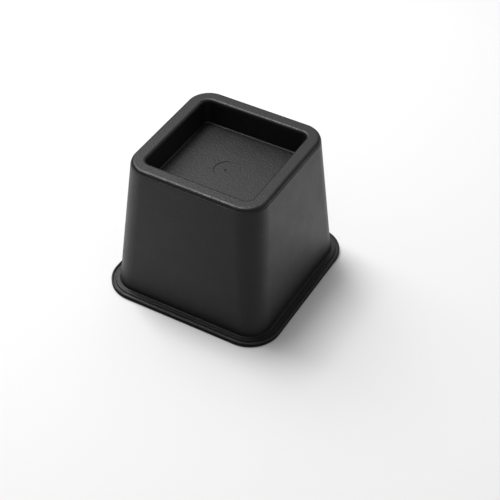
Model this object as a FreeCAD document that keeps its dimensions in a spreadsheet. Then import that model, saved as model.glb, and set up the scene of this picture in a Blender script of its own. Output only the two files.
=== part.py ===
"""Square bed riser, one injection moulding, in millimetres.

The riser stands on a thin flange. Four straight walls lean in from the flange to a shallow
band, and a square pocket in the top takes the leg of the bed. Below, the moulding is an open
shell: two ribs cross under the pocket and carry its floor down to the ground.
The origin is at the middle of the base, on the ground, with +Z up.
"""
import FreeCAD, Part
import os
import Sketcher
from FreeCAD import Rotation, Vector

# Driving sizes in millimetres, angles in degrees, from the pocket outwards
SIZES = {
    "overall_height": 97.0,
    "pocket_width": 73.4,
    "pocket_corner": 4.8,
    "pocket_depth": 17.4,
    "pocket_draft": 2.0,
    "rim_width": 9.3,
    "band_height": 3.0,
    "band_ledge": 0.4,
    "band_fillet": 1.2,
    "wall_draft": 4.865,
    "wall_corner": 15.2,
    "shell_wall": 3.0,
    "flange_reach": 5.6,
    "flange_thickness": 3.0,
    "lip_width": 1.4,
    "channel_width": 2.0,
    "channel_depth": 0.9,
    "lip_chamfer": 0.6,
    "pocket_floor": 3.0,
    "well_wall": 2.5,
    "mouth_fillet": 1.2,
    "floor_chamfer": 0.7,
    "gate_disc_width": 16.5,
    "gate_disc_depth": 0.4,
    "gate_pip_width": 3.0,
    "gate_pip_depth": 0.4,
    "rib_wall": 2.5,
    "rib_recess": 1.0,
    "foot_chamfer": 0.5,
}

# Sizes that follow from the ones above, as formulas of the sheet
FOLLOWING = {
    "wall_slope": "=tan(wall_draft * 1 deg)",
    "pocket_slope": "=tan(pocket_draft * 1 deg)",
    "floor_level": "=overall_height - pocket_depth",
    "floor_width": "=pocket_width - 2 * pocket_depth * pocket_slope",
    "band_width": "=pocket_width + 2 * rim_width",
    "shoulder_level": "=overall_height - band_height",
    "foot_width": "=band_width + 2 * band_ledge + 2 * shoulder_level * wall_slope",
    "root_width": "=foot_width - 2 * flange_thickness * wall_slope",
    "base_width": "=foot_width + 2 * flange_reach",
    "base_corner": "=wall_corner + (base_width - root_width) / 2",
    "well_foot_drop": "=pocket_depth + pocket_floor",
    "rib_root_drop": "=shell_wall / 2",
    "rib_root_level": "=overall_height - rib_root_drop",
}

SAME_PLACE = 0.01

doc = FreeCAD.newDocument("bed_riser")
sheet = doc.addObject("Spreadsheet::Sheet", "sizes")
for row, (name, value) in enumerate({**SIZES, **FOLLOWING}.items(), start=1):
    sheet.set(f"A{row}", name)
    sheet.set(f"B{row}", str(value))
    sheet.setAlias(f"B{row}", name)
doc.recompute()

body = doc.addObject("PartDesign::Body", "riser")
body.Label = "riser"


def size(name):
    """Expression for one cell of the sheet."""
    return f"sizes.{name}"


def origin_part(role):
    """The body's own origin plane or axis with this role."""
    return next(part for part in body.Origin.OriginFeatures if part.Role == role)


def outside_width(level):
    """Width over two opposite walls at a level, with the lean of the walls."""
    return f"sizes.foot_width - 2 * {level} * sizes.wall_slope"


def sketch_on(plane, name, offset="0"):
    """Empty sketch on an origin plane, moved along that plane's normal."""
    sketch = body.newObject("Sketcher::SketchObject", name)
    sketch.AttachmentSupport = [(origin_part(plane), "")]
    sketch.MapMode = "FlatFace"
    sketch.setExpression("AttachmentOffset.Base.z", offset)
    return sketch


def bind(sketch, constraint, name, expression):
    """Add a dimension, name it and tie it to the sheet."""
    index = sketch.addConstraint(constraint)
    sketch.renameConstraint(index, name)
    sketch.setExpression(f".Constraints.{name}", expression)


def add_rounded_square(sketch, name, width, corner):
    """Square about the origin with four equal round corners."""
    half = 40.0
    radius = 5.0
    inner = half - radius
    first = sketch.GeometryCount
    for turn in range(4):
        spin = Rotation(Vector(0, 0, 1), 90 * turn)
        start = spin.multVec(Vector(-inner, -half, 0))
        end = spin.multVec(Vector(inner, -half, 0))
        middle = spin.multVec(Vector(inner + radius * 0.5**0.5, -inner - radius * 0.5**0.5, 0))
        after = spin.multVec(Vector(half, -inner, 0))
        sketch.addGeometry(Part.LineSegment(start, end))
        sketch.addGeometry(Part.Arc(end, middle, after))
    sides = [first + 2 * turn for turn in range(4)]
    arcs = [side + 1 for side in sides]
    for turn in range(4):
        sketch.addConstraint(Sketcher.Constraint("Tangent", sides[turn], 2, arcs[turn], 1))
        sketch.addConstraint(Sketcher.Constraint("Tangent", arcs[turn], 2, sides[(turn + 1) % 4], 1))
    for side in (sides[0], sides[2]):
        sketch.addConstraint(Sketcher.Constraint("Horizontal", side))
    for side in (sides[1], sides[3]):
        sketch.addConstraint(Sketcher.Constraint("Vertical", side))
    for arc in arcs[1:]:
        sketch.addConstraint(Sketcher.Constraint("Equal", arcs[0], arc))
    sketch.addConstraint(Sketcher.Constraint("Equal", sides[0], sides[1]))
    sketch.addConstraint(Sketcher.Constraint("Symmetric", arcs[0], 3, arcs[2], 3, -1, 1))
    across = Sketcher.Constraint("DistanceX", sides[3], 1, sides[1], 1, 2 * half)
    bind(sketch, across, f"{name}_width", width)
    bind(sketch, Sketcher.Constraint("Radius", arcs[0], radius), f"{name}_corner", corner)


def square(name, width):
    """Sketch of one square with sharp corners on the ground."""
    sketch = sketch_on("XY_Plane", name)
    half = 40.0
    corners = [Vector(x, y, 0) for x, y in ((-half, -half), (half, -half), (half, half), (-half, half))]
    for start, end in zip(corners, corners[1:] + corners[:1]):
        sketch.addGeometry(Part.LineSegment(start, end))
    for line in range(4):
        sketch.addConstraint(Sketcher.Constraint("Coincident", line, 2, (line + 1) % 4, 1))
    for line, direction in enumerate(["Horizontal", "Vertical", "Horizontal", "Vertical"]):
        sketch.addConstraint(Sketcher.Constraint(direction, line))
    sketch.addConstraint(Sketcher.Constraint("Equal", 0, 1))
    sketch.addConstraint(Sketcher.Constraint("Symmetric", 0, 1, 2, 1, -1, 1))
    bind(sketch, Sketcher.Constraint("DistanceX", 0, 1, 0, 2, 2 * half), "width", width)
    return sketch


def round_hole(name, level, width):
    """Sketch of one circle about the axis at a level."""
    sketch = sketch_on("XY_Plane", name, level)
    circle = sketch.addGeometry(Part.Circle(Vector(0, 0, 0), Vector(0, 0, 1), 5.0))
    sketch.addConstraint(Sketcher.Constraint("Coincident", circle, 3, -1, 1))
    bind(sketch, Sketcher.Constraint("Diameter", circle, 10.0), "width", width)
    return sketch


def drafted_block(kind, name, drops, margin):
    """Loft between two depths below the top, as wide as the pocket there and a margin all round."""
    sections = []
    for end, drop in zip(("bottom", "top"), drops):
        sketch = sketch_on("XY_Plane", f"{name}_{end}", f"sizes.overall_height - {drop}")
        grown = f"({margin} - {drop} * sizes.pocket_slope)"
        width = f"sizes.pocket_width + 2 * {grown}"
        add_rounded_square(sketch, "outline", width, f"sizes.pocket_corner + {grown}")
        sections.append(sketch)
    block = body.newObject(kind, name)
    block.Profile = sections[0]
    block.Sections = [sections[1]]
    block.Ruled = True


def pad(name, profile, length, both_sides=False):
    """Material raised from a sketch."""
    feature = body.newObject("PartDesign::Pad", name)
    feature.Profile = profile
    feature.setExpression("Length", length)
    if both_sides:
        feature.SideType = "Symmetric"
    return feature


def cut_down(name, profile, depth):
    """Recess cut downwards from a sketch; the volume has to fall."""
    doc.recompute()
    before = body.Shape.Volume
    feature = body.newObject("PartDesign::Pocket", name)
    feature.Profile = profile
    feature.setExpression("Length", depth)
    doc.recompute()
    if feature.Shape.Volume >= before:
        raise RuntimeError(f"{name} cuts nothing")
    return feature


def numbered(kind, items, fits):
    """Names of the faces or edges of a shape that fit a test."""
    return [f"{kind}{number}" for number, item in enumerate(items, start=1) if fits(item)]


def flat_edges(shape, level, width):
    """Names of the edges at one level that lie on a rounded square of this width."""

    def fits(edge):
        box = edge.BoundBox
        flat = abs(box.ZMin - level) < SAME_PLACE and abs(box.ZMax - level) < SAME_PLACE
        reach = max(abs(box.XMin), abs(box.XMax), abs(box.YMin), abs(box.YMax))
        return flat and abs(reach - width / 2) < SAME_PLACE

    return numbered("Edge", shape.Edges, fits)


def dress(kind, name, edges, count, dimension, expression):
    """Fillet or chamfer on a known number of edges."""
    if len(edges) != count:
        raise RuntimeError(f"{name}: found {len(edges)} edges")
    base = body.Tip
    feature = body.newObject(kind, name)
    feature.Base = (base, edges)
    feature.setExpression(dimension, expression)
    doc.recompute()


def fillet_round(name, level, width, radius):
    """Round edge all the way round a rounded square."""
    dress("PartDesign::Fillet", name, flat_edges(body.Shape, level, width), 8, "Radius", radius)


def chamfer_round(name, level, width, leg):
    """Narrow sloping edge all the way round a rounded square."""
    dress("PartDesign::Chamfer", name, flat_edges(body.Shape, level, width), 8, "Size", leg)


def shell():
    """Leaning walls of even thickness under a flat top, open to the ground."""
    block = pad("block", square("wall_foot", size("foot_width")), size("overall_height"))
    doc.recompute()
    sides = numbered("Face", block.Shape.Faces, lambda face: abs(face.normalAt(0, 0).z) < SAME_PLACE)
    lean = body.newObject("PartDesign::Draft", "wall_lean")
    lean.Base = (block, sides)
    lean.NeutralPlane = (origin_part("XY_Plane"), [""])
    lean.setExpression("Angle", size("wall_draft"))
    doc.recompute()
    leaning = numbered("Edge", lean.Shape.Edges, lambda edge: edge.BoundBox.ZLength > SAME_PLACE)
    dress("PartDesign::Fillet", "wall_corners", leaning, 4, "Radius", size("wall_corner"))
    solid = body.Tip
    ground = numbered("Face", solid.Shape.Faces, lambda face: abs(face.CenterOfMass.z) < SAME_PLACE)
    hollow = body.newObject("PartDesign::Thickness", "hollow")
    hollow.Base = (solid, ground)
    hollow.setExpression("Value", size("shell_wall"))
    hollow.Reversed = True
    hollow.Join = "Intersection"
    doc.recompute()


def flange():
    """Flat flange round the foot, with a shallow channel inside its lip."""
    sketch = sketch_on("XY_Plane", "flange_outline")
    add_rounded_square(sketch, "rim", size("base_width"), size("base_corner"))
    inside_corner = "sizes.wall_corner - sizes.shell_wall / 2"
    add_rounded_square(sketch, "hole", "sizes.foot_width - sizes.shell_wall", inside_corner)
    pad("flange", sketch, size("flange_thickness"))
    channel = sketch_on("XY_Plane", "channel_outline", size("flange_thickness"))
    outer_inset = "sizes.lip_width"
    inner_inset = "(sizes.lip_width + sizes.channel_width)"
    for name, inset in (("outer", outer_inset), ("inner", inner_inset)):
        add_rounded_square(channel, name, f"sizes.base_width - 2 * {inset}", f"sizes.base_corner - {inset}")
    cut_down("channel", channel, size("channel_depth"))


def band():
    """Step at the top of the walls, which leaves a shallow band round the rim."""
    sketch = sketch_on("XY_Plane", "band_outline", size("overall_height"))
    add_rounded_square(sketch, "around", size("foot_width"), size("wall_corner"))
    add_rounded_square(sketch, "band", size("band_width"), "sizes.wall_corner - sizes.band_ledge")
    cut_down("band", sketch, size("band_height"))


def well():
    """Solid block that the pocket is cut from, drafted as the pocket is."""
    drops = (size("well_foot_drop"), size("rib_root_drop"))
    drafted_block("PartDesign::AdditiveLoft", "well", drops, size("well_wall"))


def ribs():
    """Two ribs crossing under the well, each rooted in two walls, the well and the rim."""
    sketch = sketch_on("XZ_Plane", "rib_outline")
    foot_half, foot_z = 40.0, 1.0
    top_half, top_z = 30.0, 80.0
    outline = ((-foot_half, foot_z), (foot_half, foot_z), (top_half, top_z), (-top_half, top_z))
    corners = [Vector(x, z, 0) for x, z in outline]
    for start, end in zip(corners, corners[1:] + corners[:1]):
        sketch.addGeometry(Part.LineSegment(start, end))
    foot, top = 0, 2
    for line in range(4):
        sketch.addConstraint(Sketcher.Constraint("Coincident", line, 2, (line + 1) % 4, 1))
    for line in (foot, top):
        sketch.addConstraint(Sketcher.Constraint("Symmetric", line, 1, line, 2, -2))
    foot_level = Sketcher.Constraint("DistanceY", -1, 1, foot, 1, foot_z)
    top_level = Sketcher.Constraint("DistanceY", -1, 1, top, 1, top_z)
    foot_width = Sketcher.Constraint("DistanceX", foot, 1, foot, 2, 2 * foot_half)
    top_width = Sketcher.Constraint("DistanceX", top, 2, top, 1, 2 * top_half)
    bind(sketch, foot_level, "foot_level", size("rib_recess"))
    bind(sketch, top_level, "top_level", size("rib_root_level"))
    bind(sketch, foot_width, "foot_width", f"{outside_width(size('rib_recess'))} - sizes.shell_wall")
    bind(sketch, top_width, "top_width", f"{outside_width(size('rib_root_level'))} - sizes.shell_wall")
    rib = pad("rib", sketch, size("rib_wall"), both_sides=True)
    doc.recompute()
    crossing = body.newObject("PartDesign::PolarPattern", "crossing_ribs")
    crossing.Originals = [rib]
    crossing.Axis = (origin_part("Z_Axis"), [""])
    crossing.Angle = 90
    crossing.Occurrences = 2
    body.Tip = crossing


def pocket():
    """Square pocket for the leg, with leaning walls and the sunk disc of the gate in its floor."""
    drafted_block("PartDesign::SubtractiveLoft", "pocket", (size("pocket_depth"), "0"), "0")
    disc = round_hole("gate_disc_outline", size("floor_level"), size("gate_disc_width"))
    cut_down("gate_disc", disc, size("gate_disc_depth"))
    pip_level = "sizes.floor_level - sizes.gate_disc_depth"
    pip = round_hole("gate_pip_outline", pip_level, size("gate_pip_width"))
    cut_down("gate_pip", pip, size("gate_pip_depth"))


def soft_edges():
    """Round or break the edges that a hand or a leg meets, and the roots of the walls."""
    fillet_round("mouth_edge", sheet.overall_height, sheet.pocket_width, size("mouth_fillet"))
    fillet_round("band_edge", sheet.overall_height, sheet.band_width, size("band_fillet"))
    chamfer_round("pocket_root", sheet.floor_level, sheet.floor_width, size("floor_chamfer"))
    chamfer_round("lip_edge", sheet.flange_thickness, sheet.base_width, size("lip_chamfer"))
    chamfer_round("wall_root", sheet.flange_thickness, sheet.root_width, size("foot_chamfer"))


def check_model():
    """Stop if any object of the document failed or the moulding isn't one sound solid."""
    doc.recompute()
    failed = [item.Name for item in doc.Objects if "Invalid" in item.State or "Error" in item.State]
    if failed:
        raise RuntimeError(f"failed: {failed}")
    shape = body.Shape
    if shape.isNull() or not shape.isValid() or len(shape.Solids) != 1:
        raise RuntimeError("the riser is not one valid solid")
    box = shape.optimalBoundingBox()
    lengths = f"{box.XLength:.2f} x {box.YLength:.2f} x {box.ZLength:.2f} mm"
    print(f"riser: {lengths}, {shape.Volume / 1000:.1f} cm3")


shell()
flange()
band()
well()
ribs()
pocket()
soft_edges()
check_model()

os.makedirs("parts", exist_ok=True)
body.Shape.exportStep(f"parts/{body.Label}.step")
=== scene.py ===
# %% [markdown]
# # A square bed riser in black plastic
#
# A bed riser is a plastic block that lifts the leg of a bed. This one is a single
# injection moulding: a thin shell with four leaning walls, a flange to stand on and
# a square pocket in its top face. In this lesson the whole shell is worked out as
# one surface with numpy, ribs are joined to its inside, and a grainy black plastic
# and a soft studio finish it.
#
# The measured frame comes first. It holds the true sizes, so the new surface is
# made to fit it and never the other way round.

# %% Load the measured riser
import math

import bpy
import numpy as np
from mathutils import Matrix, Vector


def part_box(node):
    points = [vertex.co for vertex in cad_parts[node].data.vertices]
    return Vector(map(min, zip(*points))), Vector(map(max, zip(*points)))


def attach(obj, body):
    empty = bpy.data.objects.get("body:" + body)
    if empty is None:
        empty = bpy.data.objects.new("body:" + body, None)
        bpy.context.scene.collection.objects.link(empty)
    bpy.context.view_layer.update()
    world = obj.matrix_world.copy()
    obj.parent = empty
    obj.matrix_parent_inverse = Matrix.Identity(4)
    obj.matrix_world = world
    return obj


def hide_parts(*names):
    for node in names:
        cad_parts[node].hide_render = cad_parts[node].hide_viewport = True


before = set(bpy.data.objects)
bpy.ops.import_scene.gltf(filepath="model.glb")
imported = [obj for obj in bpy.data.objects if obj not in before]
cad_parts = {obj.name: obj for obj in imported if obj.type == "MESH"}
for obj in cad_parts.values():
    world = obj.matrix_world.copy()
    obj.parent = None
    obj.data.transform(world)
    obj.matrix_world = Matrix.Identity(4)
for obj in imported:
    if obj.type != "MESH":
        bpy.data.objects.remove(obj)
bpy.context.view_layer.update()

low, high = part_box("riser")
MM = 0.001
BASE_HALF = (high[0] - low[0]) / 2 / MM
TOP = high[2] / MM
print(f"base {2 * BASE_HALF:.1f} mm, height {TOP:.1f} mm")

# %% [markdown]
# ## One profile for the whole moulding
#
# Cut the riser through the middle of two opposite walls and the cut shows a thin
# wall that goes out over the flange, up the outside, in over the rim, down into the
# pocket, and then back along the underside. Each point of that cut needs three
# numbers: how far it is from the middle, how high it is, and how round the corners
# of the square are at that height. Sharp edges never look real, because a mould
# always rounds them, so every edge here is a small arc.

# %% Sizes of the moulding, in millimetres
# Flange
BASE_CORNER = 21.06
FLANGE_TOP = 3.0
LIP_WIDTH = 1.15
LIP_ROUND = 0.8
CHANNEL_WIDTH = 1.6
CHANNEL_DEPTH = 1.1

# Walls and the band round the top; the tilt of the shoulder is in degrees
FOOT_HALF = 54.4
WALL_LEAN = math.radians(4.865)
WALL_CORNER = 15.2
SHELL_WALL = 3.0
BAND_HEIGHT = 2.5
BAND_LEDGE = 0.32
BAND_ROUND = 2.3
SHOULDER_ROUND = 8.0
SHOULDER_TILT = 13.0

# Pocket, and the well that its outside makes
POCKET_HALF = 36.7
POCKET_CORNER = 4.8
POCKET_DEPTH = 17.4
POCKET_LEAN = math.tan(math.radians(2.0))
POCKET_FLOOR = 3.0
WELL_WALL = 2.5
MOUTH_ROUND = 1.9
FLOOR_ROUND = 1.0

# Gate mark in the floor of the pocket
GATE_RADIUS = 8.25
GATE_DEPTH = 0.4
PIP_RADIUS = 1.5

# Ribs
RIB_WALL = 2.5
RIB_RECESS = 1.0

# Small rounds
ROOT_ROUND = 0.6
UNDER_ROUND = 0.8
TINY_ROUND = 0.25
MARK_ROUND = 0.175
NICK = 0.12

SHOULDER = TOP - BAND_HEIGHT
FLOOR = TOP - POCKET_DEPTH
LEVEL_CORNER = WALL_CORNER / math.cos(WALL_LEAN)
LEVEL_WALL = SHELL_WALL / math.cos(WALL_LEAN)


def wall_half(z):
    """Half width of the outer walls at height z: half = foot - z * tan(lean)."""
    return FOOT_HALF - z * math.tan(WALL_LEAN)


print(f"the walls are {2 * wall_half(SHOULDER):.1f} mm apart at the shoulder")

# %% [markdown]
# A profile is a list of short runs: straight lines and arcs, each an array of
# (half width, corner radius, height). An arc keeps the same distance from its own
# centre all the way round the square, so its corner radius grows and shrinks with
# its half width. A line starts and stops just short of its ends, which the arcs on
# either side already hold. Points so close to an arc keep the shading of a flat face
# flat right up to it.

# %% Lines and arcs of the profile
ARC_STEPS = 6
TINY_STEPS = 4
NICK_STEPS = 3
HUG = 0.12
HUG_SHARE = 0.2


def line(start, end, steps):
    """Straight run between two (half, corner, z) rows, a little short at each end.

    Row = start + t * (end - start). The values of t are evenly spaced from near to
    1 - near, where near puts the first row HUG from the start, or nearer on a short line.
    """
    start = np.array(start, dtype=float)
    end = np.array(end, dtype=float)
    length = np.hypot(end[0] - start[0], end[2] - start[2])
    near = min(HUG_SHARE, HUG / length)
    t = np.linspace(near, 1 - near, steps + 1)
    return start + t[:, None] * (end - start)


def arc(half, z, radius, start, end, corner_less_half, steps=ARC_STEPS):
    """Part of a circle about (half, z), from one angle to another, in degrees.

    Row = (half + r cos a, corner, z + r sin a), where the corner radius is the half
    width plus a fixed difference, so that the arc stays the same all round the square.
    """
    angle = np.radians(np.linspace(start, end, steps + 1))
    across = half + radius * np.cos(angle)
    return np.stack([across, across + corner_less_half, z + radius * np.sin(angle)], axis=1)


def tiny_arc(half, z, start, end, corner_less_half):
    """Arc of the smallest radius, for an edge that looks sharp from a distance."""
    return arc(half, z, TINY_ROUND, start, end, corner_less_half, TINY_STEPS)


print("an arc has", ARC_STEPS + 1, "points")

# %% [markdown]
# The outside runs from the middle of the pocket floor out to the flange. In the
# floor of the real pocket a round gate mark is left where the plastic flowed in. A
# square with a corner radius as large as its half width is a circle, so the same
# three numbers also describe the sunk disc and the small pip in its middle. The
# flat runs keep a little clear of the rounds of the mark, and the first ring is so
# small that one face can close it.

# %% Profile of the pocket and the rim
CENTRE = 0.02
ROUND_PLAN = 0.0
PIP_CLEAR = 0.5
GATE_CLEAR = 0.4
FLOOR_CLEAR = 0.2

gate_bottom = FLOOR - GATE_DEPTH
pip_bottom = gate_bottom - GATE_DEPTH
floor_half = POCKET_HALF - POCKET_LEAN * (POCKET_DEPTH - FLOOR_ROUND)
floor_edge = floor_half - FLOOR_ROUND
pocket_difference = POCKET_CORNER - POCKET_HALF
mouth_z = TOP - MOUTH_ROUND
mouth_half = POCKET_HALF - POCKET_LEAN * MOUTH_ROUND
mouth_corner = POCKET_CORNER - POCKET_LEAN * MOUTH_ROUND
lean_deg = math.degrees(math.atan(POCKET_LEAN))

pip = [
    np.array([[CENTRE, CENTRE, pip_bottom], [PIP_RADIUS / 2, PIP_RADIUS / 2, pip_bottom]]),
    arc(PIP_RADIUS - TINY_ROUND, pip_bottom + MARK_ROUND, MARK_ROUND, -90, 0, ROUND_PLAN),
    arc(PIP_RADIUS + TINY_ROUND / 2, gate_bottom - MARK_ROUND, MARK_ROUND, 180, 90, ROUND_PLAN),
]
gate = [
    line(
        (PIP_RADIUS + PIP_CLEAR, PIP_RADIUS + PIP_CLEAR, gate_bottom),
        (GATE_RADIUS - GATE_CLEAR, GATE_RADIUS - GATE_CLEAR, gate_bottom),
        steps=4,
    ),
    arc(GATE_RADIUS - MARK_ROUND, gate_bottom + MARK_ROUND, MARK_ROUND, -90, 0, ROUND_PLAN),
    arc(GATE_RADIUS + MARK_ROUND, FLOOR - MARK_ROUND, MARK_ROUND, 180, 90, ROUND_PLAN),
]
floor = [
    line(
        (GATE_RADIUS + FLOOR_CLEAR, GATE_RADIUS + FLOOR_CLEAR, FLOOR),
        (floor_edge, floor_edge + pocket_difference, FLOOR),
        steps=10,
    ),
    arc(floor_edge, FLOOR + FLOOR_ROUND, FLOOR_ROUND, -90, -lean_deg, pocket_difference),
]
pocket_wall = [
    line(
        (floor_half, floor_half + pocket_difference, FLOOR + FLOOR_ROUND),
        (mouth_half, mouth_corner, mouth_z),
        steps=6,
    ),
    arc(POCKET_HALF + MOUTH_ROUND, mouth_z, MOUTH_ROUND, 180 - lean_deg, 90, pocket_difference),
]
shoulder_half = wall_half(SHOULDER)
band_half = shoulder_half - BAND_LEDGE
band_difference = WALL_CORNER - shoulder_half
rim = [
    line(
        (POCKET_HALF + MOUTH_ROUND, POCKET_CORNER + MOUTH_ROUND, TOP),
        (band_half - BAND_ROUND, band_half - BAND_ROUND + band_difference, TOP),
        steps=4,
    ),
    arc(band_half - BAND_ROUND, TOP - BAND_ROUND, BAND_ROUND, 90, 0, band_difference),
]
print("pocket floor is", round(2 * floor_half, 1), "mm across")

# %% [markdown]
# Below the rim a shallow band meets the leaning wall in a fine crease, and the top of
# the wall rolls in towards it with a very large radius. The wall runs down to the
# flange. The flange has a raised lip and a shallow channel beside it, which catch
# the light as thin lines all round the foot.

# %% Profile of the band, the wall and the flange
lean_angle = math.degrees(WALL_LEAN)
root_half = wall_half(FLANGE_TOP)
root_difference = LEVEL_CORNER - root_half
base_difference = BASE_CORNER - BASE_HALF
lip_inner = BASE_HALF - LIP_WIDTH
channel_inner = lip_inner - CHANNEL_WIDTH
channel_bottom = FLANGE_TOP - CHANNEL_DEPTH

tilt = math.radians(SHOULDER_TILT)
roll_drop = SHOULDER_ROUND * (math.sin(tilt) - math.sin(WALL_LEAN))
shoulder_drop = NICK * (1 - math.sin(tilt)) + roll_drop
wall_top = SHOULDER - shoulder_drop
shoulder_centre = wall_half(wall_top) - SHOULDER_ROUND * math.cos(WALL_LEAN)
shoulder_difference = LEVEL_CORNER - wall_half(wall_top)
lip_centre = shoulder_centre + (SHOULDER_ROUND - NICK) * math.cos(tilt)
shoulder_roll = arc(
    shoulder_centre,
    wall_top - SHOULDER_ROUND * math.sin(WALL_LEAN),
    SHOULDER_ROUND,
    SHOULDER_TILT,
    lean_angle,
    shoulder_difference,
)
band = [
    arc(band_half + NICK, SHOULDER + NICK, NICK, 180, 270, band_difference, NICK_STEPS),
    arc(lip_centre, SHOULDER - NICK, NICK, 90, SHOULDER_TILT, shoulder_difference, NICK_STEPS),
    shoulder_roll[1:],
]
wall_bottom = FLANGE_TOP + ROOT_ROUND
wall = [
    line(
        (wall_half(wall_top), LEVEL_CORNER, wall_top),
        (wall_half(wall_bottom), LEVEL_CORNER, wall_bottom),
        steps=24,
    ),
    arc(
        wall_half(wall_bottom) + ROOT_ROUND,
        wall_bottom,
        ROOT_ROUND,
        180 + lean_angle,
        270,
        root_difference,
    ),
]
flange = [
    line(
        (root_half + ROOT_ROUND, root_half + ROOT_ROUND + root_difference, FLANGE_TOP),
        (channel_inner - TINY_ROUND, channel_inner - TINY_ROUND + base_difference, FLANGE_TOP),
        steps=2,
    ),
    tiny_arc(channel_inner - TINY_ROUND, FLANGE_TOP - TINY_ROUND, 90, 0, base_difference),
    tiny_arc(channel_inner + TINY_ROUND, channel_bottom + TINY_ROUND, 180, 270, base_difference),
    tiny_arc(lip_inner - TINY_ROUND, channel_bottom + TINY_ROUND, 270, 360, base_difference),
    tiny_arc(lip_inner + TINY_ROUND, FLANGE_TOP - TINY_ROUND, 180, 90, base_difference),
    arc(BASE_HALF - LIP_ROUND, FLANGE_TOP - LIP_ROUND, LIP_ROUND, 90, 0, base_difference),
    tiny_arc(BASE_HALF - TINY_ROUND, TINY_ROUND, 0, -90, base_difference),
]
outside = np.concatenate(pip + gate + floor + pocket_wall + rim + band + wall + flange)
print("the outside has", len(outside), "rows")

# %% [markdown]
# The underside follows the outside at an even thickness, because plastic of uneven
# thickness sinks and warps as it cools. It climbs inside the wall to the plate of
# the rim, comes down round the pocket, and closes under the pocket's floor.

# %% Profile of the underside
inner_corner = (WALL_CORNER - SHELL_WALL) / math.cos(WALL_LEAN)
inner_foot = FOOT_HALF - LEVEL_WALL
roof = TOP - SHELL_WALL
roof_half = wall_half(roof) - LEVEL_WALL
roof_difference = inner_corner - roof_half


def well_half(z):
    """Half width of the well's outer faces at height z; they lean as the pocket does.

    Half = pocket + wall - tan(draft) * (top - z).
    """
    return POCKET_HALF + WELL_WALL - POCKET_LEAN * (TOP - z)


well_bottom = FLOOR - POCKET_FLOOR
well_high = well_half(roof - UNDER_ROUND)
well_low = well_half(well_bottom + UNDER_ROUND)
under = [
    tiny_arc(inner_foot + TINY_ROUND, TINY_ROUND, 270, 180, inner_corner - inner_foot),
    line(
        (inner_foot - TINY_ROUND * math.tan(WALL_LEAN), inner_corner, TINY_ROUND),
        (roof_half + UNDER_ROUND * math.tan(WALL_LEAN), inner_corner, roof - UNDER_ROUND),
        steps=12,
    ),
    arc(roof_half - UNDER_ROUND, roof - UNDER_ROUND, UNDER_ROUND, 0, 90, roof_difference),
    arc(well_half(roof) + UNDER_ROUND, roof - UNDER_ROUND, UNDER_ROUND, 90, 180, pocket_difference),
    line(
        (well_high, well_high + pocket_difference, roof - UNDER_ROUND),
        (well_low, well_low + pocket_difference, well_bottom + UNDER_ROUND),
        steps=3,
    ),
    arc(well_low - UNDER_ROUND, well_bottom + UNDER_ROUND, UNDER_ROUND, 0, -90, pocket_difference),
    line(
        (well_low - UNDER_ROUND, well_low - UNDER_ROUND + pocket_difference, well_bottom),
        (CENTRE, CENTRE, well_bottom),
        steps=8,
    ),
]
profile = np.concatenate([outside] + under)
print("the whole profile has", len(profile), "rows")

# %% [markdown]
# ## From profile to surface
#
# The surface has two parameters: v runs along the profile and u runs once round the
# square. A rounded square is the sum of two simple paths: a sharp square, scaled by
# the half width less the corner radius, and a circle, scaled by the corner radius.
# Along a straight side the square moves and the circle waits. Round a corner the
# circle moves and the square waits.

# %% The rounded square
SIDE_STEPS = 12
CORNER_STEPS = 28
SIDE_HUG = 0.985


def square_path():
    """Two arrays of points: where the sharp square is and where the circle is, for each u.

    P(u) = (half - corner) * square(u) + corner * circle(u).
    """
    along = np.concatenate([[-1.0], np.linspace(-SIDE_HUG, SIDE_HUG, SIDE_STEPS), [1.0]])
    turn = np.radians(np.linspace(0, 90, CORNER_STEPS + 1))[1:-1]
    square = []
    circle = []
    for quarter in range(4):
        heading = math.radians(90 * quarter)
        outward = np.array([math.cos(heading), math.sin(heading)])
        sideways = np.array([-math.sin(heading), math.cos(heading)])
        side = outward + along[:, None] * sideways
        square.append(side)
        circle.append(np.repeat(outward[None, :], len(along), axis=0))
        corner = np.repeat((outward + sideways)[None, :], len(turn), axis=0)
        square.append(corner)
        circle.append(np.stack([np.cos(heading + turn), np.sin(heading + turn)], axis=1))
    return np.concatenate(square), np.concatenate(circle)


square, circle = square_path()
print("one turn has", len(square), "points")

# %% [markdown]
# Each row of the profile becomes one closed ring of points, and each ring is joined to
# the next by four-sided faces. All the rings are worked out at once as one array. Two
# last faces close the tiny rings in the middle of the pocket's floor, one above and one
# below, so the shell has no hole.

# %% Make the shell


def ring_faces(rows, columns):
    """Corner numbers of the four-sided faces between neighbouring closed rings."""
    first = np.arange(rows - 1)[:, None] * columns
    second = first + columns
    here = np.arange(columns)[None, :]
    after = (here + 1) % columns
    quads = np.stack([first + here, second + here, second + after, first + after], axis=-1)
    return quads.reshape(-1, 4)


def mesh_from(name, points, faces):
    """Mesh from an array of points in millimetres and a list of faces."""
    mesh = bpy.data.meshes.new(name)
    mesh.from_pydata((points * MM).tolist(), [], faces)
    mesh.update()
    return mesh


def swept(rows):
    """Points of one ring for each (half, corner, z) row, and the faces between the rings.

    Point = ((half - corner) * square + corner * circle, z).
    """
    half, corner, z = (rows[:, k][:, None, None] for k in range(3))
    plan = (half - corner) * square[None] + corner * circle[None]
    heights = np.broadcast_to(z, plan.shape[:2] + (1,))
    points = np.concatenate([plan, heights], axis=2).reshape(-1, 3)
    return points, ring_faces(len(rows), len(square)).tolist()


shell_points, shell_faces = swept(profile)
columns = len(square)
shell_faces.append(list(range(columns)))
last = len(shell_points) - columns
shell_faces.append(list(range(last + columns - 1, last - 1, -1)))
shell_mesh = mesh_from("riser_shell", shell_points, shell_faces)
print("the shell has", len(shell_mesh.polygons), "faces")

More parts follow.
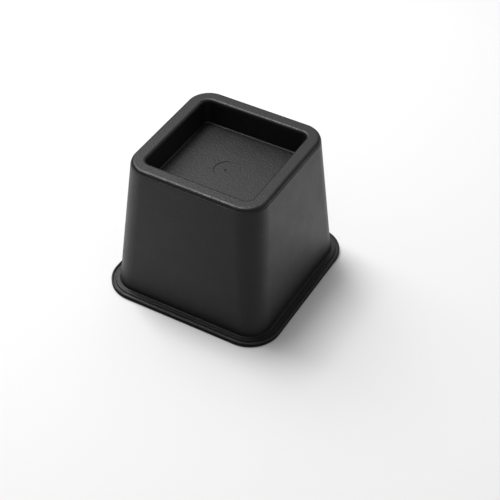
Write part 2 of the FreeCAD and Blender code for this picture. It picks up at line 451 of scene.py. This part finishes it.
# %% [markdown]
# ## The ribs
#
# A hollow block this thin would buckle, so two ribs cross under the pocket and carry
# its floor to the ground. Each rib is a flat plate with leaning ends. Its edges stop
# in the middle of the walls that they meet, so that the plate and the shell overlap
# and can be joined.

# %% Plates for the ribs
RIBS = (("rib_along", False), ("rib_across", True))
root_level = TOP - SHELL_WALL / 2
crown_level = FLOOR - POCKET_FLOOR / 2


def rib_outline():
    """Half of one rib as (distance from the middle, height) rows, from the foot upwards.

    Every edge lies in the middle of the wall it is joined to, so the outline climbs the
    outer wall, crosses inside the rim, comes down the well and stops under the pocket.
    """
    levels = np.array([RIB_RECESS, root_level])
    climb = np.stack([wall_half(levels) - LEVEL_WALL / 2, levels], axis=1)
    levels = np.array([root_level, crown_level])
    descent = np.stack([well_half(levels) - WELL_WALL / 2, levels], axis=1)
    return np.concatenate([climb, descent])


def rib_mesh(name, across):
    """Plate of even thickness with the rib's outline, along X or along Y."""
    right = rib_outline()
    left = right[::-1] * [-1.0, 1.0]
    outline = np.concatenate([right, left])
    count = len(outline)
    points = []
    for side in (-RIB_WALL / 2, RIB_WALL / 2):
        depth = np.full(count, side)
        if across:
            order = (-depth, outline[:, 0], outline[:, 1])
        else:
            order = (outline[:, 0], depth, outline[:, 1])
        points.append(np.stack(order, axis=1))
    edges = [(i, (i + 1) % count, count + (i + 1) % count, count + i) for i in range(count)]
    ends = [tuple(range(count)), tuple(range(2 * count - 1, count - 1, -1))]
    return mesh_from(name, np.concatenate(points), [face[::-1] for face in ends + edges])


def new_piece(name, mesh):
    """Object with this mesh, in the scene, at the origin."""
    piece = bpy.data.objects.new(name, mesh)
    bpy.context.scene.collection.objects.link(piece)
    return piece


plates = [new_piece(name, rib_mesh(name, across)) for name, across in RIBS]
print(len(plates), "ribs")

# %% [markdown]
# The ribs could stay separate plates, pushed into the shell. But the real moulding has
# one skin, so a boolean union joins them. The skin is then shaded smooth, apart from
# the edges where the ribs meet the walls.
#
# Known fault, on the underside only: a union needs every face to point outwards, and
# the two large faces of each plate point inwards. So the arm of the ribs towards -Y is
# lost, and some edges stay open. Those two faces, wound the other way, would mend it.

# %% Join the shell and the ribs
CREASE = math.radians(40)


def union(base, others):
    """One mesh: the skin round a base piece and everything that overlaps it."""
    for other in others:
        join = base.modifiers.new(other.name, "BOOLEAN")
        join.operation = "UNION"
        join.solver = "EXACT"
        join.object = other
    graph = bpy.context.evaluated_depsgraph_get()
    mesh = bpy.data.meshes.new_from_object(base.evaluated_get(graph))
    for used in [base] + others:
        bpy.data.objects.remove(used)
    return mesh


mesh = union(new_piece("shell", shell_mesh), plates)
mesh.shade_smooth()
mesh.set_sharp_from_angle(angle=CREASE)
mesh.name = "riser_moulding"
riser = new_piece("riser_moulding", mesh)
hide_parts("riser")
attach(riser, "root")
print("the moulding has", len(mesh.polygons), "faces")

# %% [markdown]
# ## Black plastic with a spark-eroded grain
#
# The steel of the mould is roughened by sparks, and the plastic copies it: a fine,
# even grain that spreads each highlight. Almost all of the light that leaves black
# plastic is reflected at its skin, so the colour is close to black and the grain and
# the roughness do the work. The grain has two sizes of bump, and a slow change in
# roughness keeps the large faces from looking like paint.

# %% Material
PLASTIC_COLOUR = (0.006, 0.006, 0.006, 1.0)
GRAIN_MM = 0.8
COARSE_GRAIN_MM = 1.3
CLOUD_MM = 12.0
GRAIN_DEPTH = 0.17
COARSE_DEPTH = 0.1
ROUGHNESS = (0.36, 0.50)


def noise(nodes, links, place, size_mm, detail):
    """Noise whose blobs are about this many millimetres across: scale = 1 / size."""
    texture = nodes.new("ShaderNodeTexNoise")
    texture.inputs["Scale"].default_value = 1 / (size_mm * MM)
    texture.inputs["Detail"].default_value = detail
    links.new(place.outputs["Object"], texture.inputs["Vector"])
    return texture


def bump(nodes, links, height, depth_mm, before=None):
    """Bump of a real depth, on top of another bump if there is one."""
    node = nodes.new("ShaderNodeBump")
    node.inputs["Distance"].default_value = depth_mm * MM
    links.new(height.outputs["Fac"], node.inputs["Height"])
    if before:
        links.new(before.outputs["Normal"], node.inputs["Normal"])
    return node


def black_plastic():
    """Moulded black plastic: near-black colour, soft sheen, two sizes of grain."""
    material = bpy.data.materials.new("black_plastic")
    material.use_nodes = True
    nodes = material.node_tree.nodes
    links = material.node_tree.links
    shader = nodes["Principled BSDF"]
    shader.inputs["Base Color"].default_value = PLASTIC_COLOUR
    place = nodes.new("ShaderNodeTexCoord")
    coarse_noise = noise(nodes, links, place, COARSE_GRAIN_MM, detail=1.0)
    fine_noise = noise(nodes, links, place, GRAIN_MM, detail=2.0)
    cloud = noise(nodes, links, place, CLOUD_MM, detail=3.0)
    coarse = bump(nodes, links, coarse_noise, COARSE_DEPTH)
    fine = bump(nodes, links, fine_noise, GRAIN_DEPTH, coarse)
    links.new(fine.outputs["Normal"], shader.inputs["Normal"])
    spread = nodes.new("ShaderNodeMapRange")
    spread.inputs["To Min"].default_value = ROUGHNESS[0]
    spread.inputs["To Max"].default_value = ROUGHNESS[1]
    links.new(cloud.outputs["Fac"], spread.inputs["Value"])
    links.new(spread.outputs["Result"], shader.inputs["Roughness"])
    return material


mesh.materials.clear()
mesh.materials.append(black_plastic())
print("grain of", GRAIN_MM, "and", COARSE_GRAIN_MM, "mm")

# %% [markdown]
# ## The studio
#
# The photo is a plain product shot: a white ground and soft light from above. A matt
# white floor and a pale sky are enough for that.

# %% Floor
FLOOR_REACH = 3.0
FLOOR_GREY = 0.86
MATT = 0.9


def plain_paint(name, grey):
    """Matt grey paint."""
    paint = bpy.data.materials.new(name)
    paint.use_nodes = True
    shader = paint.node_tree.nodes["Principled BSDF"]
    shader.inputs["Base Color"].default_value = (grey, grey, grey, 1.0)
    shader.inputs["Roughness"].default_value = MATT
    return paint


def stage_floor():
    """Pale floor, one large square at the height of the ground."""
    corners = np.array([[-1, -1, 0], [1, -1, 0], [1, 1, 0], [-1, 1, 0]]) * FLOOR_REACH / MM
    piece = new_piece("floor", mesh_from("floor", corners, [(0, 1, 2, 3)]))
    piece.data.materials.append(plain_paint("white_floor", FLOOR_GREY))


stage_floor()
print("the floor is", 2 * FLOOR_REACH, "m wide")

# %% [markdown]
# The camera looks down at the corner between two walls. Its direction, distance and
# lens were solved from the edges of the riser in the photo, whose height and width
# are known, so that the two outlines fall on each other.

# %% Camera
CAMERA_AZIMUTH = 28.88
CAMERA_ELEVATION = 42.673
CAMERA_ROLL = 0.885
CAMERA_DISTANCE = 871.5
CAMERA_RIGHT = 15.02
CAMERA_UP = 9.39
CAMERA_LENS = 96.003

scene = bpy.context.scene
scene.view_settings.view_transform = "Standard"


def place_camera():
    """Camera that looks at the riser from an azimuth and an elevation, as the photo does.

    back points from the riser to the camera. Azimuth 0 looks along +Y.
    """
    azimuth = math.radians(CAMERA_AZIMUTH)
    elevation = math.radians(CAMERA_ELEVATION)
    roll = math.radians(CAMERA_ROLL)
    back = np.array([
        math.sin(azimuth) * math.cos(elevation),
        -math.cos(azimuth) * math.cos(elevation),
        math.sin(elevation),
    ])
    level = np.array([math.cos(azimuth), math.sin(azimuth), 0.0])
    upright = np.cross(back, level)
    right = math.cos(roll) * level + math.sin(roll) * upright
    up = math.cos(roll) * upright - math.sin(roll) * level
    place = (CAMERA_RIGHT * right + CAMERA_UP * up + CAMERA_DISTANCE * back) * MM
    lens = bpy.data.cameras.new("camera")
    lens.lens = CAMERA_LENS
    camera = bpy.data.objects.new("camera", lens)
    matrix = np.eye(4)
    matrix[:3, 0] = right
    matrix[:3, 1] = up
    matrix[:3, 2] = back
    matrix[:3, 3] = place
    camera.matrix_world = matrix.T.tolist()
    scene.collection.objects.link(camera)
    scene.camera = camera


place_camera()
print("the camera is", CAMERA_DISTANCE, "mm away")

# %% [markdown]
# Black plastic shows its shape almost only by what it mirrors. A small softbox high
# above draws the bright line along the front edge of the rim, a second one from the
# left lifts the rim, and a large faint one behind fills the flat faces.

# %% Softboxes
# Name, place in metres, size in metres, power in watts
SOFTBOXES = (
    ("overhead", (-0.42, 0.15, 1.3), 0.45, 12.0),
    ("key", (-0.85, 0.3, 1.05), 0.7, 5.0),
    ("behind", (-0.46, 0.83, 0.89), 1.0, 1.3),
)
LIT_POINT = (0.0, 0.0, 0.05)


def softbox(name, place, size, power):
    """Square area light at a place, facing the middle of the riser."""
    light = bpy.data.lights.new(name, "AREA")
    light.shape = "SQUARE"
    light.size = size
    light.energy = power
    lamp = bpy.data.objects.new(name, light)
    lamp.location = place
    aim = np.array(LIT_POINT) - np.array(place)
    lamp.rotation_euler = (
        math.pi / 2 + math.atan2(aim[2], math.hypot(aim[0], aim[1])),
        0,
        math.atan2(aim[1], aim[0]) - math.pi / 2,
    )
    scene.collection.objects.link(lamp)


for box in SOFTBOXES:
    softbox(*box)
print(len(SOFTBOXES), "softboxes")

# %% [markdown]
# ## What the walls mirror
#
# Seen from above, the walls mirror the table in front of them. In the photo one wall
# is a dark grey, the other a lighter grey, and the corner between them is the
# darkest. So pieces of grey card lie on the table and a dark tent stands round it.
# They are hidden from the camera and from matt surfaces, and show in reflections
# only, which leaves the floor plain. The cards are painted shade. They stand in for
# the shade on the table in front of the riser and off its corner. The tent is painted
# shade for the dark room round the lit table. Each card darkens towards the riser,
# where the riser keeps the light off the table. A narrow strip right beside the
# flange is painted shade too, nearly black, and the flange's upright edge mirrors it.

# %% Cards of painted shade and tent, in metres
SHADE_NEAR = 0.07
SHADE_FAR = 0.16
# Painted shade: the two cards stand in for the shaded table in front of the riser and off its
# corner
FRONT_SHADE_CARD = ((-0.35, -0.062), (-0.8, -0.8), (0.35, -0.8), (0.07, -0.062))
FRONT_SHADE_GREYS = (0.56, 0.8)
CORNER_SHADE_CARD = ((-0.22, -0.22), (0.15, -1.29), (1.02, -0.8), (0.31, 0.07))
CORNER_SHADE_GREYS = (0.27, 0.46)
STRIP_WIDTH = 0.003
STRIP_GREY = 0.02
TENT_INNER = 0.35
TENT_OUTER = 1.6
TENT_HEIGHT = 0.6
TENT_SLOPE = (-0.12, -0.26)
TENT_CORNER_SHARE = 0.25
TENT_GREY = 0.04

# Heights above the floor, so that no two sheets lie in one plane
TENT_LIFT = 0.0002
FRONT_LIFT = 0.0004
CORNER_LIFT = 0.0006
STRIP_LIFT = 0.0008


def shaded_paint(name, near_grey, far_grey):
    """Painted shade: matt paint that goes from one grey beside the riser to another further out.

    Grey = near + (far - near) * s, where s goes from 0 at SHADE_NEAR to 1 at SHADE_FAR
    with the distance from the middle of the riser.
    """
    paint = plain_paint(name, far_grey)
    nodes = paint.node_tree.nodes
    links = paint.node_tree.links
    place = nodes.new("ShaderNodeTexCoord")
    distance = nodes.new("ShaderNodeVectorMath")
    distance.operation = "LENGTH"
    links.new(place.outputs["Object"], distance.inputs[0])
    ramp = nodes.new("ShaderNodeMapRange")
    ramp.inputs["From Min"].default_value = SHADE_NEAR
    ramp.inputs["From Max"].default_value = SHADE_FAR
    ramp.inputs["To Min"].default_value = near_grey
    ramp.inputs["To Max"].default_value = far_grey
    links.new(distance.outputs["Value"], ramp.inputs["Value"])
    links.new(ramp.outputs["Result"], nodes["Principled BSDF"].inputs["Base Color"])
    return paint


def reflected_only(name, points, faces, paint):
    """Card, given in metres, that shows in reflections and nowhere else."""
    piece = new_piece(name, mesh_from(name, np.array(points) / MM, faces))
    piece.data.materials.append(paint)
    piece.visible_camera = False
    piece.visible_diffuse = False
    piece.visible_shadow = False


def shade_card(name, greys, outline, lift):
    """Flat card of painted shade with this outline just above the floor."""
    points = [[x, y, lift] for x, y in outline]
    reflected_only(name, points, [tuple(range(len(outline)))], shaded_paint(name, *greys))


def contact_shade():
    """Dark strip of table right beside the flange, where no light gets in.

    Half width = base + (0 to STRIP_WIDTH), with the corner's centre kept.
    """
    reach = BASE_HALF * MM + np.array([0.0, STRIP_WIDTH])
    corner = reach - (BASE_HALF - BASE_CORNER) * MM
    points, faces = swept(np.stack([reach, corner, np.full(2, STRIP_LIFT)], axis=1))
    reflected_only("contact_shade", points, faces, plain_paint("contact_shade", STRIP_GREY))


def dark_tent():
    """Dark floor and walls round the lit part of the table, with a top edge that slopes.

    Height of the top edge = height + slope_x * x + slope_y * y.
    """
    rows = np.array([
        [TENT_INNER, TENT_INNER * TENT_CORNER_SHARE, TENT_LIFT],
        [TENT_OUTER, TENT_OUTER * TENT_CORNER_SHARE, TENT_LIFT],
        [TENT_OUTER, TENT_OUTER * TENT_CORNER_SHARE, TENT_HEIGHT],
    ])
    points, faces = swept(rows)
    points[-columns:, 2] += points[-columns:, :2] @ TENT_SLOPE
    reflected_only("dark_tent", points, faces, plain_paint("dark_tent", TENT_GREY))


shade_card("front_shade_card", FRONT_SHADE_GREYS, FRONT_SHADE_CARD, FRONT_LIFT)
shade_card("corner_shade_card", CORNER_SHADE_GREYS, CORNER_SHADE_CARD, CORNER_LIFT)
contact_shade()
dark_tent()
print("two cards, a dark strip and a tent")

# %% [markdown]
# The sky is an even white, so it has no edge for the plastic to mirror. It is weak, so
# that the softboxes still shape the riser and the pocket stays dark.

# %% Sky
SKY_STRENGTH = 0.35
world = bpy.data.worlds.new("studio")
world.use_nodes = True
sky = world.node_tree.nodes["Background"]
sky.inputs["Color"].default_value = (1.0, 1.0, 1.0, 1.0)
sky.inputs["Strength"].default_value = SKY_STRENGTH
scene.world = world
print("sky strength", SKY_STRENGTH)
